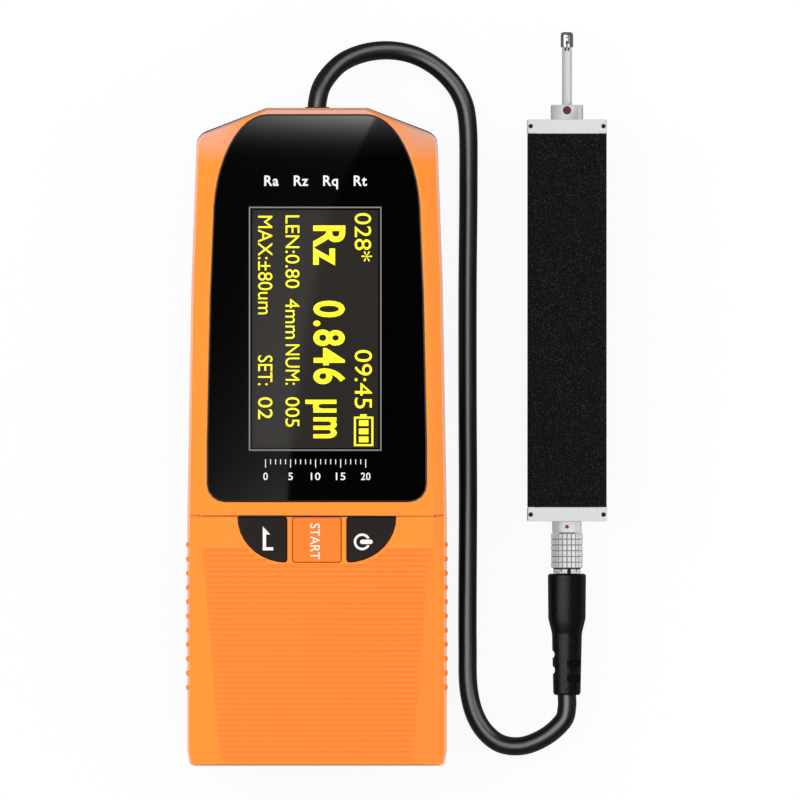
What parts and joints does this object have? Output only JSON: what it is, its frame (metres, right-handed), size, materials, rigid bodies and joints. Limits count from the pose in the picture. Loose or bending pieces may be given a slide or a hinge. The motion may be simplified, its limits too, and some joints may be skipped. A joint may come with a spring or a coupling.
{
  "type": "surface roughness tester",
  "caption": "Handheld roughness gauge: keyed host with an arched display lens, joined by a free cable to a rectangular drive unit whose slim stylus pick-up traverses.",
  "frame": {"origin": "middle of the host housing's flat back, on the floor", "axes": "+Y along the host to its top end and the cable outlet, +Z out of the display face, +X towards the drive unit"},
  "size_m": [0.1011, 0.1765, 0.0483],
  "materials": {
    "orange_plastic": "fine moulded satin",
    "charcoal_plastic": "fine moulded satin",
    "lens_acrylic": "polished, printed black behind",
    "display_glass": "smooth",
    "circuit_board": "solder mask",
    "switch_plastic": "moulded",
    "key_plastic": "fine moulded satin",
    "battery_wrap": "shrink film",
    "screw_steel": "zinc plated",
    "rubber": "moulded matt",
    "anodised_aluminium": "black anodised, fine blasted grain",
    "satin_aluminium": "clear anodised satin",
    "polished_steel": "polished",
    "plated_brass": "satin chrome plated",
    "brass": "machined",
    "motor_steel": "drawn",
    "cable_jacket": "smooth soft jacket"
  },
  "bodies": {
    "tester": {"front_shell": "orange_plastic", "rear_shell": "charcoal_plastic", "case_screw_1": "screw_steel", "case_screw_2": "screw_steel", "case_screw_3": "screw_steel", "case_screw_4": "screw_steel", "display_lens": "lens_acrylic", "display_module": "display_glass", "main_board": "circuit_board", "enter_switch": "switch_plastic", "start_switch": "switch_plastic", "power_switch": "switch_plastic", "battery_pack": "battery_wrap", "cable_grommet": "rubber", "drive_housing": "anodised_aluminium", "front_cap": "satin_aluminium", "rear_cap": "satin_aluminium", "pickup_collar": "satin_aluminium", "guide_rod_left": "polished_steel", "guide_rod_right": "polished_steel", "motor_bulkhead": "satin_aluminium", "gear_motor": "motor_steel", "drive_board": "circuit_board", "drive_socket": "plated_brass", "plug_body": "plated_brass", "plug_boot": "rubber", "cable": "cable_jacket"},
    "enter_key": {"enter_key": "key_plastic"},
    "start_key": {"start_key": "orange_plastic"},
    "power_key": {"power_key": "key_plastic"},
    "pickup_carriage": {"carriage": "satin_aluminium", "drive_nut": "brass", "pickup_tube": "satin_aluminium", "skid_nose": "polished_steel"},
    "lead_screw": {"lead_screw": "polished_steel"},
    "stylus": {"stylus_arm": "polished_steel"},
    "plug_sleeve": {"plug_sleeve": "plated_brass"}
  },
  "joints": [
    {"name": "enter_press", "type": "slide", "parent": "tester", "child": "enter_key", "axis": [0, 0, -1], "range_m": [0, 0.0005], "stiffness_N_per_m": 300},
    {"name": "start_press", "type": "slide", "parent": "tester", "child": "start_key", "axis": [0, 0, -1], "range_m": [0, 0.0005], "stiffness_N_per_m": 300},
    {"name": "power_press", "type": "slide", "parent": "tester", "child": "power_key", "axis": [0, 0, -1], "range_m": [0, 0.0005], "stiffness_N_per_m": 300},
    {"name": "pickup_traverse", "type": "slide", "parent": "tester", "child": "pickup_carriage", "axis": [0, -1, 0], "range_m": [0, 0.0125]},
    {"name": "screw_spin", "type": "hinge", "parent": "tester", "child": "lead_screw", "pos_m": [0.0601, 0.053, 0.00725], "axis": [0, 1, 0], "range_deg": [0, 2250]},
    {"name": "stylus_swing", "type": "hinge", "parent": "pickup_carriage", "child": "stylus", "pos_m": [0.0601, 0.08656, 0.01125], "axis": [1, 0, 0], "range_deg": [-1, 0], "stiffness_Nm_per_rad": 0.001},
    {"name": "sleeve_pull", "type": "slide", "parent": "tester", "child": "plug_sleeve", "axis": [0, -1, 0], "range_m": [0, 0.0009], "stiffness_N_per_m": 500}
  ],
  "couplings": [
    {"joint": "screw_spin", "follows": "pickup_traverse", "rad_per_m": 3141.6}
  ]
}
